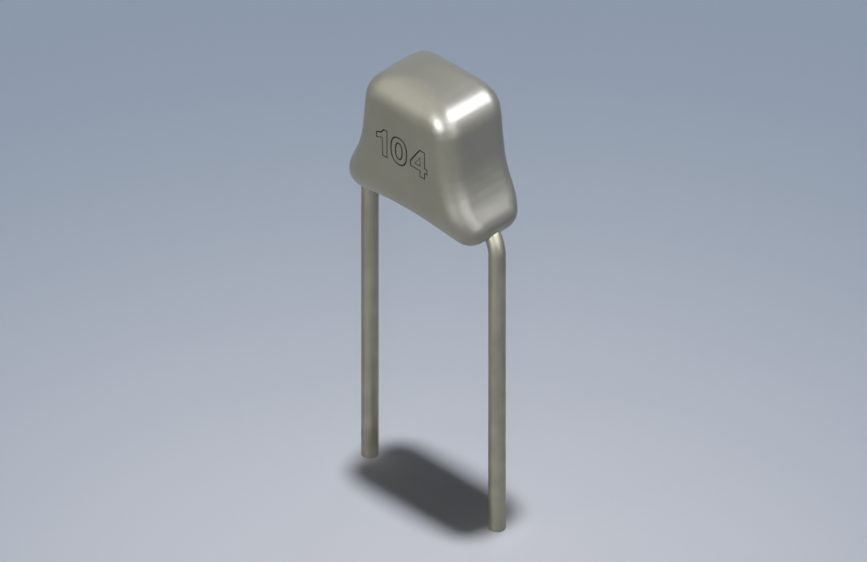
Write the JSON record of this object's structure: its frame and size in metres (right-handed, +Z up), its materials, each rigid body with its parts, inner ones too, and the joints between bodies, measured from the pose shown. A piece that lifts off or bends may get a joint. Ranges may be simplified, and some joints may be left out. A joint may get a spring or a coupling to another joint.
{
  "type": "multilayer ceramic capacitor",
  "caption": "Radial-leaded ceramic capacitor: a layered ceramic chip with plated end caps and soldered wires inside a bell-shaped dipped epoxy coat, for soldering into a circuit board.",
  "frame": {"origin": "midway between the two lead tips, at the level of the tips", "axes": "+Z up along the leads towards the coat's crown, +X from the left lead to the right lead, -Y out of the coat's front face"},
  "size_m": [0.0056, 0.0026, 0.0145],
  "materials": {
    "coating": "semi-gloss cured epoxy dip",
    "lead_wire": "satin tinned wire",
    "solder": "satin solder",
    "tin": "matt tin plating",
    "nickel": "satin nickel plating",
    "copper": "fired copper",
    "dielectric": "matt sintered ceramic",
    "electrode_nickel": "sintered nickel"
  },
  "bodies": {
    "root": {"epoxy_coating": "coating", "ceramic_block": "dielectric", "lead_left": "lead_wire", "solder_left": "solder", "tin_plating_left": "tin", "nickel_barrier_left": "nickel", "copper_cap_left": "copper", "lead_right": "lead_wire", "solder_right": "solder", "tin_plating_right": "tin", "nickel_barrier_right": "nickel", "copper_cap_right": "copper", "electrode_1": "electrode_nickel", "electrode_2": "electrode_nickel", "electrode_3": "electrode_nickel", "electrode_4": "electrode_nickel", "electrode_5": "electrode_nickel", "electrode_6": "electrode_nickel", "electrode_7": "electrode_nickel", "electrode_8": "electrode_nickel", "electrode_9": "electrode_nickel", "electrode_10": "electrode_nickel"}
  },
  "joints": []
}
